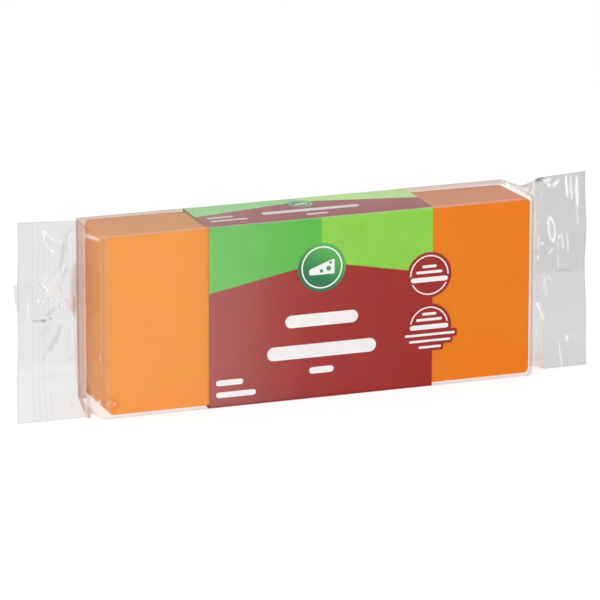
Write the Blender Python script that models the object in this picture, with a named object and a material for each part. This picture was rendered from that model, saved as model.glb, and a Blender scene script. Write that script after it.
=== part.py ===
"""A block of cheddar sealed in a clear flow-wrap pack, standing on its long narrow edge.

The pack is one closed solid: a rounded block, a flat crimped fin at each end in the plane of the block's
middle, and the folded back seam, which runs along the back and on over both fins. Metres, +Z up, X along
the pack, the front facing -Y. The origin is the middle of the base that the pack rests on.
"""

import math

import bmesh
import bpy

# The wrapped block
BODY_LENGTH = 0.1490
BODY_DEPTH = 0.0265
BODY_HEIGHT = 0.0607
EDGE_RADIUS = 0.0008
CORNER_RADIUS = 0.0012

# The end walls, which slant from the block's corners to the fins
LEFT_REACH = 0.0038
RIGHT_REACH = 0.0055
WALL_BULGE = 0.6
LEFT_TUCK = 0.0
RIGHT_TUCK = 0.0009
TUCK_LEAD = 0.4
BASE_TUCK_SHARE = 0.5

# The end fins
FIN_LENGTH = 0.0240
FIN_THICKNESS = 0.0008
FIN_EDGE_SHARE = 0.9
FIN_RISE = 0.0024
FIN_SPREAD = 0.0012
FIN_SKEW = 0.0007
FIN_CLEAR = 0.0004
FIN_WAVE = 0.0006
WAVE_PITCH = 0.0290
WAVE_PHASE = 1.1

# The left fin has its full height soon after its root, and the right one rises over a longer slope
LEFT_RISE_START = 0.0009
LEFT_RISE_LENGTH = 0.0022
RIGHT_RISE_START = 0.0015
RIGHT_RISE_LENGTH = 0.0055

# The pressed ribs of each end seal
RIB_COUNT = 4
RIB_PITCH = 0.0019
RIB_DEPTH = 0.00025
RIB_MARGIN = 0.0032

# The film that is too long to stand straight on the table curls forward at the fins' lower corners
CURL_HEIGHT = 0.0200
CURL_FORWARD = 0.0090
CURL_DRAG = 0.0030

# The back seam, folded up flat against the back
SEAM_LOW = 0.0313
SEAM_HEIGHT = 0.0124
SEAM_ROOT = 0.0004
SEAM_EDGE = 0.0008
SEAM_STEP = 0.0003
SEAM_POKE = 0.0011

# How finely the solid is faceted
ARC_STEPS = 4
SIDE_STEPS = 12
SEAM_STEPS = 3
CORNER_STEPS = 4
BODY_STEPS = 6
WALL_STEPS = 4
FLARE_STEPS = 5

HALF_LENGTH = BODY_LENGTH / 2
HALF_DEPTH = BODY_DEPTH / 2
FIN_HALF = FIN_THICKNESS / 2
SEAM_TOP = SEAM_LOW + SEAM_HEIGHT


def smooth(t):
    """0 to 1 with level ends."""
    t = min(max(t, 0.0), 1.0)
    return t * t * (3 - 2 * t)


def end_stations(reach):
    """How far each cross-section is past the flat of the block's front, out to the fin's edge."""
    corner = [CORNER_RADIUS * math.sin(math.radians(90 * i / CORNER_STEPS)) for i in range(CORNER_STEPS)]
    wall = [CORNER_RADIUS + reach * i / WALL_STEPS for i in range(1, WALL_STEPS + 1)]
    root, tip = wall[-1], CORNER_RADIUS + FIN_LENGTH
    first_rib = tip - RIB_MARGIN - RIB_COUNT * RIB_PITCH
    flare = [root + (first_rib - root) * i / FLARE_STEPS for i in range(1, FLARE_STEPS + 1)]
    ribs = [first_rib + RIB_PITCH * i / 2 for i in range(1, 2 * RIB_COUNT + 1)]
    return corner + wall + flare + ribs + [tip]


def all_stations():
    """Every cross-section's place along X, from the left fin's edge to the right one's."""
    flat = HALF_LENGTH - CORNER_RADIUS
    left = [-flat - s for s in end_stations(LEFT_REACH)]
    middle = [-flat + 2 * flat * i / BODY_STEPS for i in range(1, BODY_STEPS)]
    right = [flat + s for s in end_stations(RIGHT_REACH)]
    return left[::-1] + middle + right


def wall_reach(x):
    """How far the end wall on this side runs out before it is the fin."""
    return LEFT_REACH if x < 0 else RIGHT_REACH


def half_depth(x):
    """Half the pack's depth: the block, its rounded corner, the slanting end wall, then the fin."""
    past = abs(x) - (HALF_LENGTH - CORNER_RADIUS)
    if past <= 0:
        return HALF_DEPTH
    if past < CORNER_RADIUS:
        return HALF_DEPTH - CORNER_RADIUS + math.sqrt(CORNER_RADIUS**2 - past**2)
    wall = min((past - CORNER_RADIUS) / wall_reach(x), 1.0)
    inner = HALF_DEPTH - CORNER_RADIUS
    return inner + (FIN_HALF - inner) * wall**WALL_BULGE


def flare(x):
    """0 on the block and where the fin starts, rising to 1 where the fin has its full height."""
    start, length = (LEFT_RISE_START, LEFT_RISE_LENGTH) if x < 0 else (RIGHT_RISE_START, RIGHT_RISE_LENGTH)
    return smooth((abs(x) - HALF_LENGTH - start) / length)


def along_fin(x):
    """0 on the block, 1 at the fin's outer edge."""
    return max(abs(x) - HALF_LENGTH, 0.0) / FIN_LENGTH


def tuck(x):
    """How far the top and the base draw in where the film closes on the fin."""
    past = (abs(x) - HALF_LENGTH) / wall_reach(x)
    depth = LEFT_TUCK if x < 0 else RIGHT_TUCK
    return depth * smooth(past + TUCK_LEAD) * (1 - flare(x))


def low_edge(x):
    lifted = smooth((abs(x) - HALF_LENGTH + CORNER_RADIUS) / CORNER_RADIUS)
    return FIN_CLEAR * lifted + tuck(x) * BASE_TUCK_SHARE


def high_edge(x):
    return BODY_HEIGHT + FIN_RISE * flare(x) + FIN_SPREAD * along_fin(x) - tuck(x)


def rib(x):
    """The pressed ribs' offset, alternately forward and back."""
    inward = HALF_LENGTH + FIN_LENGTH - RIB_MARGIN - abs(x)
    if inward < -1e-6 or inward > RIB_COUNT * RIB_PITCH + 1e-6:
        return 0.0
    return RIB_DEPTH * math.sin(2 * math.pi * (inward / RIB_PITCH) + math.pi / 2)


def fin_offset(x, z):
    """How far the fin's film stands from the middle plane, back being positive."""
    wave = FIN_WAVE * math.sin(2 * math.pi * z / WAVE_PITCH + math.copysign(WAVE_PHASE, x)) * flare(x)
    curl = -CURL_FORWARD * max(1 - z / CURL_HEIGHT, 0.0) ** 2 * flare(x)
    return wave + curl + rib(x)


def slide(x, z):
    """How far a fin's point moves along X: the upper corners draw in and the curled lower ones trail left."""
    drawn_in = -math.copysign(FIN_SKEW, x) * z / BODY_HEIGHT
    trailing = -CURL_DRAG * max(1 - z / CURL_HEIGHT, 0.0) ** 2
    return (drawn_in + trailing) * along_fin(x)


def seam_lift(z):
    """How far the folded seam stands off the film behind it."""
    if not SEAM_LOW - 1e-9 <= z <= SEAM_TOP + 1e-9:
        return 0.0
    return SEAM_ROOT + (SEAM_EDGE - SEAM_ROOT) * (z - SEAM_LOW) / SEAM_HEIGHT


def side_heights(low, high):
    """Heights up a cross-section's straight side, with a pair at each edge of the seam."""
    heights = []
    below = SIDE_STEPS // 2
    above = SIDE_STEPS - below
    foot = SEAM_LOW - SEAM_STEP
    head = SEAM_TOP + SEAM_STEP
    heights += [low + (foot - low) * i / below for i in range(1, below + 1)]
    heights += [SEAM_LOW + SEAM_HEIGHT * i / SEAM_STEPS for i in range(SEAM_STEPS + 1)]
    heights += [head + (high - head) * i / above for i in range(above)]
    return heights


def side_outline(x):
    """One side of a cross-section, from the middle of the base up to the middle of the top, as (depth, z)."""
    half = half_depth(x)
    low, high = low_edge(x), high_edge(x)
    radius = min(EDGE_RADIUS, half * FIN_EDGE_SHARE)
    turns = [math.radians(90 * i / ARC_STEPS) for i in range(ARC_STEPS + 1)]
    base = [(half - radius + radius * math.sin(a), low + radius - radius * math.cos(a)) for a in turns]
    top = [(half - radius + radius * math.cos(a), high - radius + radius * math.sin(a)) for a in turns]
    side = [(half, z) for z in side_heights(low + radius, high - radius)]
    return [(0.0, low)] + base + side + top + [(0.0, high)]


def cross_section(x):
    """The closed ring of points at x: up the front, then down the back."""
    outline = side_outline(x)
    front = [(-depth, z) for depth, z in outline]
    back = [(depth + seam_lift(z) * (depth > 0), z) for depth, z in outline[-2:0:-1]]
    at_left_edge = x < -(HALF_LENGTH + FIN_LENGTH) + 1e-6
    ring = []
    for depth, z in front + back:
        poke = SEAM_POKE * (z - SEAM_LOW) / SEAM_HEIGHT if at_left_edge and seam_lift(z) else 0.0
        ring.append((x + slide(x, z) - poke, depth + fin_offset(x, z) * fin_share(x), z))
    return ring


def fin_share(x):
    """0 on the block, so that only the fins wave and curl."""
    return 1.0 if abs(x) > HALF_LENGTH else 0.0


def loft(bm, rings):
    """Joins the rings with quads and closes both ends, front point to back point."""
    rows = [[bm.verts.new(p) for p in ring] for ring in rings]
    count = len(rows[0])
    for row, after in zip(rows, rows[1:]):
        for j in range(count):
            k = (j + 1) % count
            bm.faces.new((row[j], row[k], after[k], after[j]))
    half = count // 2
    for row in (rows[0], rows[-1]):
        for j in range(half):
            far = [row[(count - j) % count], row[count - j - 1]]
            corners = [row[j], row[j + 1], far[1], far[0]]
            bm.faces.new(list(dict.fromkeys(corners)))


def clear_scene():
    for obj in list(bpy.data.objects):
        bpy.data.objects.remove(obj, do_unlink=True)


def cheddar_material():
    material = bpy.data.materials.new("wrapped_cheddar")
    material.use_nodes = True
    shader = material.node_tree.nodes["Principled BSDF"]
    shader.inputs["Base Color"].default_value = (0.86, 0.29, 0.05, 1.0)
    shader.inputs["Roughness"].default_value = 0.22
    shader.inputs["Metallic"].default_value = 0.0
    return material


def make_pack(collection):
    """The sealed pack with the block in it."""
    mesh = bpy.data.meshes.new("wrapped_block")
    bm = bmesh.new()
    loft(bm, [cross_section(x) for x in all_stations()])
    bmesh.ops.recalc_face_normals(bm, faces=bm.faces)
    bm.to_mesh(mesh)
    bm.free()
    mesh.materials.append(cheddar_material())
    mesh.shade_smooth()
    mesh.set_sharp_from_angle(angle=math.radians(35))
    pack = bpy.data.objects.new("wrapped_block", mesh)
    collection.objects.link(pack)
    return pack


def main():
    clear_scene()
    collection = bpy.data.collections.new("cheddar_block")
    bpy.context.scene.collection.children.link(collection)
    make_pack(collection)


main()
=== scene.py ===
"""The looks of a cheddar block in its clear flow-wrap pack: the cheese, the film round it with its crimped
fins and folded seam, and the print on the film. Metres, +Z up, the printed front facing -Y."""

import math

import bmesh
import bpy
import numpy as np
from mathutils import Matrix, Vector


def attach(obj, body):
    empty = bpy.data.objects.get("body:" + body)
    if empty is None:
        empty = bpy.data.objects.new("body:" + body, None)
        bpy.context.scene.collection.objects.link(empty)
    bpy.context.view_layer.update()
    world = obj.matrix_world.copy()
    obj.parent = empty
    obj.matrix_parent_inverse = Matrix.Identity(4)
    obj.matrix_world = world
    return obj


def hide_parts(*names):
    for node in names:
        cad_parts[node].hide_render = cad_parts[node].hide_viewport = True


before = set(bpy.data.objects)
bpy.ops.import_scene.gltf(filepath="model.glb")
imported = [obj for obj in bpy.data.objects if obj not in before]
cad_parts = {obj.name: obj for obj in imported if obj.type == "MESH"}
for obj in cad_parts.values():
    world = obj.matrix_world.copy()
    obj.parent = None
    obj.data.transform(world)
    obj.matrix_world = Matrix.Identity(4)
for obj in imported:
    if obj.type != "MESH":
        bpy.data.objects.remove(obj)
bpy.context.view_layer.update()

MM = 0.001

# The film's outer size, as in the solid
BODY_LENGTH = 149.0 * MM
BODY_DEPTH = 26.5 * MM
BODY_HEIGHT = 60.7 * MM
EDGE_RADIUS = 0.8 * MM
CORNER_RADIUS = 1.2 * MM
HALF_LENGTH = BODY_LENGTH / 2
HALF_DEPTH = BODY_DEPTH / 2
MID_HEIGHT = BODY_HEIGHT / 2

# The end walls and fins, as in the solid
LEFT_REACH = 3.8 * MM
RIGHT_REACH = 5.5 * MM
WALL_BULGE = 0.6
LEFT_TUCK = 0.0
RIGHT_TUCK = 0.9 * MM
TUCK_LEAD = 0.4
BASE_TUCK_SHARE = 0.5
FIN_LENGTH = 24.0 * MM
FIN_EDGE = HALF_LENGTH + FIN_LENGTH
FIN_GAP = 0.16 * MM
FIN_RISE = 2.4 * MM
LEFT_RISE_START = 0.9 * MM
LEFT_RISE_LENGTH = 2.2 * MM
RIGHT_RISE_START = 1.5 * MM
RIGHT_RISE_LENGTH = 5.5 * MM
FIN_SPREAD = 1.2 * MM
FIN_SKEW = 0.7 * MM
FIN_CLEAR = 0.45 * MM
FIN_WAVE = 0.6 * MM
WAVE_PITCH = 29.0 * MM
WAVE_PHASE = 1.1
CURL_HEIGHT = 20.0 * MM
CURL_FORWARD = 9.0 * MM
CURL_DRAG = 3.0 * MM

# The cheese inside, which sits off the film's base and nearer its front
CHEESE_LEFT = -71.7 * MM
CHEESE_RIGHT = 73.0 * MM
CHEESE_FRONT = -12.9 * MM
CHEESE_BACK = 12.5 * MM
CHEESE_LOW = 1.15 * MM
CHEESE_HIGH = 60.4 * MM
CHEESE_END_ROUND = 1.6 * MM
CHEESE_EDGE = 0.9 * MM
CHEESE_SLOPE_LEFT = 0.35 * MM
CHEESE_SLOPE_RIGHT = 1.3 * MM

# The printed band and the layers of ink on it
BAND_LEFT = -38.0 * MM
BAND_RIGHT = 38.7 * MM
BAND_MIDDLE = 0.4 * MM
PRINT_GAP = 0.10 * MM
PRINT_THICKNESS = 0.03 * MM
INK_THICKNESS = 0.010 * MM
LAYER_STEP = 0.012 * MM

# Where green meets burgundy: at the band's sides and at its middle, up the front and back over the top
FRONT_SHOULDER = 38.5 * MM
FRONT_PEAK = 45.7 * MM
TOP_SHOULDER = 0.5 * MM
TOP_PEAK = 8.2 * MM

# The back seam, folded up flat against the back
SEAM_LOW = 31.3 * MM
SEAM_HEIGHT = 12.4 * MM
SEAM_ROOT = 0.12 * MM
SEAM_EDGE = 0.35 * MM
SEAM_FILM = 0.05 * MM
SEAM_POKE = 1.1 * MM
SEAM_ROWS = 12
SEAM_END_COLUMNS = 90
SEAM_BAND_COLUMNS = 60

# The pressed ribs of the end seals, which are deeper at the top of the right fin
RIB_COUNT = 4
RIB_PITCH = 1.9 * MM
RIB_MARGIN = 3.2 * MM
RIB_DEPTH = 0.012 * MM
STREAK_DEPTH = 0.02 * MM
STREAK_RISE = (46.0, 15.0)

# Where the film hangs loose, and where the end walls are fluted
LOOSE_START = 0.6
LOOSE_RUN = 2.5 * MM
FLUTE_LEAD = 0.4 * MM
FLUTE_OVERRUN = 1.2 * MM

# How finely the film is divided
FINE_BODY = 6.0 * MM
BODY_RINGS = 16
CORNER_RINGS = 4
WALL_RINGS = 14
FIN_RINGS = 64
FILM_ROWS = 170
MIDDLE_COLUMNS = 20
PANEL_ROWS = 24

# Lengths that count as none
HAIR = 0.001 * MM
PANEL_SLACK = 0.012 * MM

# The picture's frame and its camera
PICTURE_SIDE = 600
FOCAL_PIXELS = 5400.0
CAMERA_YAW = math.radians(19.862)
CAMERA_PITCH = math.radians(15.656)
CAMERA_TARGET = Vector((-2.322 * MM, 0.0, 29.764 * MM))
CAMERA_DISTANCE = 1755.4 * MM
SENSOR_WIDTH = 36.0

# The light
DOME_LIGHT = 0.5
MIRRORED_LOW = 0.03
MIRRORED_BACK = 0.85
MIRRORED_LEFT = 0.75
BEHIND = (-0.2, 0.3)
LEFTWARD = (-0.35, -0.7)
TABLE_GLOW = 0.55
TABLE_SEEN = 0.80
STRIP_GLOW = 8.0
GLINT_GLOW = 3.0
CARD_WIDTH = 240.0 * MM
CARD_HEIGHT = 460.0 * MM
CARD_SHIFT = 8.0 * MM
CARD_FADE = 52.0 * MM
CARD_GLOW = 0.75
CARD_REACH = 0.45


def smooth(t):
    """0 to 1 with level ends, of a number or an array."""
    t = np.clip(t, 0.0, 1.0)
    return t * t * (3 - 2 * t)


def rise(place, start, run):
    """0 up to start and 1 past start + run, both in mm."""
    return smooth((place / MM - start) / run)


def bell(value, centre, width):
    return np.exp(-(((value - centre) / width) ** 2))


def deselect():
    bpy.ops.object.select_all(action="DESELECT")


def activate(piece):
    """Makes a piece the only selected object."""
    deselect()
    piece.select_set(True)
    bpy.context.view_layer.objects.active = piece


def edit(piece, mode):
    """Opens a piece in edit mode with nothing selected."""
    activate(piece)
    bpy.ops.object.mode_set(mode="EDIT")
    bpy.ops.mesh.select_mode(type=mode)
    bpy.ops.mesh.select_all(action="DESELECT")


def select_whole():
    bpy.ops.mesh.select_all(action="SELECT")


def leave_edit():
    bpy.ops.object.mode_set(mode="OBJECT")


def pick(piece, kind, test):
    """Selects the faces or edges that pass a test, and nothing else, in edit mode."""
    bpy.ops.mesh.select_all(action="DESELECT")
    bm = bmesh.from_edit_mesh(piece.data)
    for item in getattr(bm, kind):
        if test(item):
            item.select_set(True)
    bmesh.update_edit_mesh(piece.data)


def middle(item):
    """The middle of a face's or an edge's corners."""
    total = Vector((0, 0, 0))
    for v in item.verts:
        total += v.co
    return total / len(item.verts)


def span(edge):
    return edge.verts[1].co - edge.verts[0].co


def apply_place():
    """Moves the selected object's place, turn and scale into its mesh."""
    bpy.ops.object.transform_apply(location=True, rotation=True, scale=True)


def name_piece(piece, name):
    piece.name = name
    piece.data.name = name
    return piece


def add_box(name, low, high):
    """A box between two corners, with its place in its mesh."""
    low, high = Vector(low), Vector(high)
    deselect()
    bpy.ops.mesh.primitive_cube_add(size=1, location=(low + high) / 2)
    piece = bpy.context.object
    piece.scale = high - low
    apply_place()
    return name_piece(piece, name)


def face_outwards(piece):
    """Recalculates the normals of a closed piece."""
    edit(piece, "FACE")
    select_whole()
    bpy.ops.mesh.normals_make_consistent(inside=False)
    leave_edit()


def bevel_edges(piece, test, width, segments):
    edit(piece, "EDGE")
    pick(piece, "edges", test)
    bpy.ops.mesh.bevel(offset=width, segments=segments, profile=0.5, affect="EDGES")
    leave_edit()


def apply_modifier(piece, kind, **settings):
    """Adds a modifier to a piece and applies it."""
    activate(piece)
    modifier = piece.modifiers.new(kind.lower(), kind)
    for key, value in settings.items():
        setattr(modifier, key, value)
    bpy.ops.object.modifier_apply(modifier=modifier.name)


def join(name, pieces):
    """Joins pieces into one."""
    activate(pieces[0])
    for piece in pieces:
        piece.select_set(True)
    bpy.ops.object.join()
    return name_piece(bpy.context.object, name)


def shade(piece, degrees):
    activate(piece)
    bpy.ops.object.shade_smooth_by_angle(angle=math.radians(degrees))


def points_of(piece):
    co = np.zeros(len(piece.data.vertices) * 3)
    piece.data.vertices.foreach_get("co", co)
    return co.reshape(-1, 3)


def move_points(piece, points):
    piece.data.vertices.foreach_set("co", points.ravel())
    piece.data.update()


# Materials

def new_material(name):
    material = bpy.data.materials.new(name)
    material.use_nodes = True
    material.node_tree.nodes.clear()
    return material, material.node_tree


def add_node(tree, kind, inputs=None, **settings):
    """A shader node; each of its inputs is given a value or the socket that feeds it."""
    node = tree.nodes.new(kind)
    for key, value in settings.items():
        setattr(node, key, value)
    for key, value in (inputs or {}).items():
        if isinstance(value, bpy.types.NodeSocket):
            tree.links.new(value, node.inputs[key])
        else:
            node.inputs[key].default_value = value
    return node


def show(tree, shader, kind="Material"):
    """Makes a shader what the tree's material or world looks like."""
    add_node(tree, "ShaderNodeOutput" + kind, {"Surface": shader.outputs[0]})


def object_coordinates(tree, scale=(1, 1, 1)):
    """Object coordinates, stretched by scale."""
    place = add_node(tree, "ShaderNodeTexCoord").outputs["Object"]
    return add_node(tree, "ShaderNodeMapping", {"Vector": place, "Scale": scale}).outputs["Vector"]


def axes(tree, vector):
    """A vector's X, Y and Z."""
    return add_node(tree, "ShaderNodeSeparateXYZ", {0: vector}).outputs


def noise(tree, scale, detail=3.0, roughness=0.5, stretch=(1, 1, 1)):
    """Noise over the object's own coordinates."""
    place = object_coordinates(tree, stretch)
    values = {"Vector": place, "Scale": scale, "Detail": detail, "Roughness": roughness}
    return add_node(tree, "ShaderNodeTexNoise", values).outputs["Fac"]


def ramp(tree, factor, stops):
    """A colour ramp through (position, colour) stops."""
    node = add_node(tree, "ShaderNodeValToRGB", {"Fac": factor})
    elements = node.color_ramp.elements
    while len(elements) < len(stops):
        elements.new(0.5)
    for element, (position, colour) in zip(elements, stops):
        element.position = position
        element.color = (*colour, 1)
    return node.outputs["Color"]


def bump(tree, height, strength, distance):
    values = {"Height": height, "Strength": strength, "Distance": distance}
    return add_node(tree, "ShaderNodeBump", values).outputs["Normal"]


def math_node(tree, operation, *values):
    """A Math node; each input is a number or a socket."""
    return add_node(tree, "ShaderNodeMath", dict(enumerate(values)), operation=operation).outputs[0]


def smooth_step(tree, value, low, high):
    """0 to 1 between low and high."""
    values = {"Value": value, "From Min": low, "From Max": high}
    return add_node(tree, "ShaderNodeMapRange", values, interpolation_type="SMOOTHSTEP").outputs["Result"]


def mix_shaders(tree, share, first, second):
    return add_node(tree, "ShaderNodeMixShader", {0: share, 1: first.outputs[0], 2: second.outputs[0]})


# The cheese's colour and, on its left, a paler yellower copy that is painted light, with where one passes to
# the other
CHEDDAR = (0.79, 0.20, 0.004)
CHEDDAR_LIT_LEFT = (0.84, 0.29, 0.020)
CHEDDAR_LIGHT_FADE = (-0.075, 0.070)
MOTTLE = 0.5
DRAG_STRETCH = (6, 300, 300)


def cheddar_material():
    """Smooth orange cheese, painted paler and yellower to the left as painted light, with the wire's drag
    lines and the curd's fine grain.
    """
    material, tree = new_material("cheddar")
    rightward = smooth_step(tree, axes(tree, object_coordinates(tree))["X"], *CHEDDAR_LIGHT_FADE)
    cloudy = noise(tree, 55.0, 4.0, 0.55)
    mottle = math_node(tree, "MULTIPLY_ADD", cloudy, MOTTLE, -MOTTLE / 2)
    place = math_node(tree, "ADD", rightward, mottle)
    drag = noise(tree, 1.0, stretch=DRAG_STRETCH)
    grain = noise(tree, 900.0, 2.0)
    height = math_node(tree, "MULTIPLY_ADD", grain, 0.35, drag)
    shader = add_node(tree, "ShaderNodeBsdfPrincipled", {
        "Base Color": ramp(tree, place, [(0.0, CHEDDAR_LIT_LEFT), (1.0, CHEDDAR)]),
        "Normal": bump(tree, height, 0.35, 0.15 * MM),
        "Roughness": 0.5, "Specular IOR Level": 0.12,
        "Subsurface Weight": 0.25, "Subsurface Radius": (1.0, 0.35, 0.08), "Subsurface Scale": 0.005,
    })
    show(tree, shader)
    return material


# The painted reflection at the band's left, mixed into the inks' colour, where the film over the print
# mirrors the light
INK_SHEEN = 0.058
INK_SHEEN_LEFT = -40.0 * MM
INK_SHEEN_RIGHT = -4.0 * MM
INK_SHEEN_COLOUR = (0.95, 0.86, 0.85, 1)


def ink_shader(tree, colour, coat=0.0):
    """A printed solid's shader, under the painted reflection; a coat gives it the gloss of bare film."""
    near = smooth_step(tree, axes(tree, object_coordinates(tree))["X"], INK_SHEEN_LEFT, INK_SHEEN_RIGHT)
    share = math_node(tree, "MULTIPLY_ADD", near, -INK_SHEEN, INK_SHEEN)
    sheened = add_node(tree, "ShaderNodeMix", {0: share, 6: colour, 7: INK_SHEEN_COLOUR}, data_type="RGBA")
    fine = noise(tree, 1500.0, 1.0)
    return add_node(tree, "ShaderNodeBsdfPrincipled", {
        "Base Color": sheened.outputs[2], "Normal": bump(tree, fine, 0.08, 0.02 * MM),
        "Roughness": 0.42, "Specular IOR Level": 0.2,
        "Coat Weight": coat, "Coat Roughness": 0.18, "Coat IOR": 1.75,
    })


def print_material(name, colour, shift=0.06, coat=0.0):
    """Ink on film: a flat colour with the faint unevenness of a printed solid."""
    material, tree = new_material(name)
    uneven = noise(tree, 140.0)
    dark = tuple(c * (1 - shift) for c in colour)
    light = tuple(min(c * (1 + shift), 1.0) for c in colour)
    tinted = ramp(tree, uneven, [(0.3, dark), (0.7, light)])
    show(tree, ink_shader(tree, tinted, coat))
    return material


SHADE_SLANT = 0.6


def shaded_material(name, dark, light, low, high):
    """Ink that passes from dark to light up a slanting line, on which low and high lie."""
    material, tree = new_material(name)
    place = axes(tree, object_coordinates(tree))
    up = math_node(tree, "ADD", place["Y"], place["Z"])
    along = math_node(tree, "MULTIPLY_ADD", place["X"], SHADE_SLANT, up)
    tinted = ramp(tree, smooth_step(tree, along, low, high), [(0.0, dark), (1.0, light)])
    show(tree, ink_shader(tree, tinted))
    return material


# How much the film mirrors seen straight and seen aslant, and how cloudy it is
FILM_MIRROR = 0.075
SEAM_MIRROR = 0.012
SLANT_MIRROR = 0.30
SLANT_POWER = 4.5
FILM_HAZE = 0.004


def film_material(name, mirror=FILM_MIRROR):
    """Clear film, tinted and whitened by its points, which carry painted shade, glints and sheen: light goes
    straight through, a little is mirrored.
    """
    material, tree = new_material(name)
    points = add_node(tree, "ShaderNodeAttribute", attribute_name="film_tint_and_painted_light").outputs
    clear = add_node(tree, "ShaderNodeBsdfTransparent", {"Color": points["Color"]})
    milky = add_node(tree, "ShaderNodeBsdfDiffuse", {"Color": (1, 1, 1, 1)})
    ripple = noise(tree, 90.0, 2.0)
    gloss = add_node(tree, "ShaderNodeBsdfAnisotropic", {
        "Color": (1, 1, 1, 1), "Roughness": 0.18, "Normal": bump(tree, ripple, 0.2, 0.25 * MM),
    })
    cloudy = noise(tree, 60.0)
    haze = math_node(tree, "MULTIPLY_ADD", cloudy, FILM_HAZE, points["Alpha"])
    facing = add_node(tree, "ShaderNodeLayerWeight", {"Blend": 0.5}).outputs["Facing"]
    slant = math_node(tree, "POWER", facing, SLANT_POWER)
    share = math_node(tree, "MULTIPLY_ADD", slant, SLANT_MIRROR - mirror, mirror)
    skin = mix_shaders(tree, share, mix_shaders(tree, haze, clear, milky), gloss)
    show(tree, skin)
    return material


# The inks, and between which places along the slanting line the emblems' green passes from dark to light
PLAIN_INKS = {
    "burgundy": (0.34, 0.022, 0.018),
    "green": (0.10, 0.48, 0.055),
    "light_green": (0.25, 0.60, 0.060),
    "top_green": (0.30, 0.82, 0.23),
    "top_light_green": (0.59, 0.99, 0.26),
}
WHITE_INK = (0.86, 0.84, 0.84)
DEEP_GREEN = (0.016, 0.17, 0.075)
LEAF_GREEN = (0.09, 0.46, 0.08)
SHADES = {"emblem": (0.024, 0.041), "top_emblem": (0.060, 0.072)}

inks = {name: print_material("ink_" + name, colour) for name, colour in PLAIN_INKS.items()}
inks["seam_burgundy"] = print_material("ink_seam_burgundy", PLAIN_INKS["burgundy"], coat=1.0)
inks["white"] = print_material("ink_white", WHITE_INK, 0.02)
for name, ends in SHADES.items():
    inks[name] = shaded_material("ink_" + name, DEEP_GREEN, LEAF_GREEN, *ends)


# The cheese

def make_cheese():
    """The block: cut faces, a top that falls a little to the back, upright corners rounded by the wrap."""
    low = (CHEESE_LEFT, CHEESE_FRONT, CHEESE_LOW)
    cheese = add_box("cheddar", low, (CHEESE_RIGHT, CHEESE_BACK, CHEESE_HIGH))
    edit(cheese, "VERT")
    for side, drop in ((-1, CHEESE_SLOPE_LEFT), (1, CHEESE_SLOPE_RIGHT)):
        pick(cheese, "verts", lambda v: v.co.z > MID_HEIGHT and v.co.y > 0 and v.co.x * side > 0)
        bpy.ops.transform.translate(value=(0, 0, -drop))
    leave_edit()
    bevel_edges(cheese, lambda e: abs(span(e).y) > BODY_DEPTH / 2, CHEESE_END_ROUND, 6)
    cut_edge = lambda e: e.calc_face_angle(0) > math.radians(60)
    bevel_edges(cheese, cut_edge, CHEESE_EDGE, 5)
    shade(cheese, 40)
    cheese.data.materials.append(cheddar_material())
    return cheese


# The film

def reach_of(x):
    """How far the end wall on this side runs out before it is the fin."""
    return np.where(x < 0, LEFT_REACH, RIGHT_REACH)


def end_profile(reach):
    """(distance past the cage's middle part, share of the depth) of each ring of an end."""
    rings = [(FINE_BODY * i / BODY_RINGS, 1.0) for i in range(1, BODY_RINGS + 1)]
    for i in range(1, CORNER_RINGS + 1):
        turn = math.radians(90 * i / CORNER_RINGS)
        depth = (HALF_DEPTH - CORNER_RADIUS * (1 - math.cos(turn))) / HALF_DEPTH
        rings.append((FINE_BODY + CORNER_RADIUS * math.sin(turn), depth))
    inner = rings[-1][1]
    fin = FIN_GAP / 2 / HALF_DEPTH
    for i in range(1, WALL_RINGS + 1):
        t = i / WALL_RINGS
        rings.append((FINE_BODY + CORNER_RADIUS + reach * t ** (1 / WALL_BULGE), inner + (fin - inner) * t))
    rest = FIN_LENGTH - reach
    for i in range(1, FIN_RINGS + 1):
        rings.append((FINE_BODY + CORNER_RADIUS + reach + rest * i / FIN_RINGS, fin))
    return rings


def pull_out_end(film, side, start, reach):
    """Draws one end of the block out into its slanting wall and its thin fin."""
    pick(film, "faces", lambda f: f.normal.x * side > 0.9 and middle(f).x * side > start - MM)
    reached, depth = 0.0, 1.0
    for past, share in end_profile(reach):
        bpy.ops.mesh.extrude_region_move(TRANSFORM_OT_translate={"value": ((past - reached) * side, 0, 0)})
        centre = ((start + past) * side, 0, MID_HEIGHT)
        bpy.ops.transform.resize(value=(1, share / depth, 1), center_override=centre)
        reached, depth = past, share


def cut_edges(film, test, cuts):
    pick(film, "edges", test)
    bpy.ops.mesh.subdivide(number_cuts=cuts, smoothness=0)


def film_cage():
    """The sealed film as a fine even cage: block, end walls and fins, with nothing folded yet."""
    start = HALF_LENGTH - CORNER_RADIUS - FINE_BODY
    film = add_box("film", (-start, -HALF_DEPTH, 0), (start, HALF_DEPTH, BODY_HEIGHT))
    bevel_edges(film, lambda e: abs(span(e).x) > BODY_LENGTH / 2, EDGE_RADIUS, 3)
    edit(film, "FACE")
    pull_out_end(film, 1, start, RIGHT_REACH)
    pull_out_end(film, -1, start, LEFT_REACH)
    bpy.ops.mesh.select_mode(type="EDGE")
    cut_edges(film, lambda e: abs(span(e).z) > BODY_HEIGHT / 2, FILM_ROWS - 1)
    cut_edges(film, lambda e: abs(span(e).x) > BODY_LENGTH / 2, MIDDLE_COLUMNS - 1)
    on_panel = lambda e: min(middle(e).z, BODY_HEIGHT - middle(e).z) < PANEL_SLACK
    across = lambda e: abs(span(e).x) < HAIR and abs(middle(e).y) < HAIR
    cut_edges(film, lambda e: on_panel(e) and across(e), PANEL_ROWS - 1)
    leave_edit()
    return film


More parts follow.
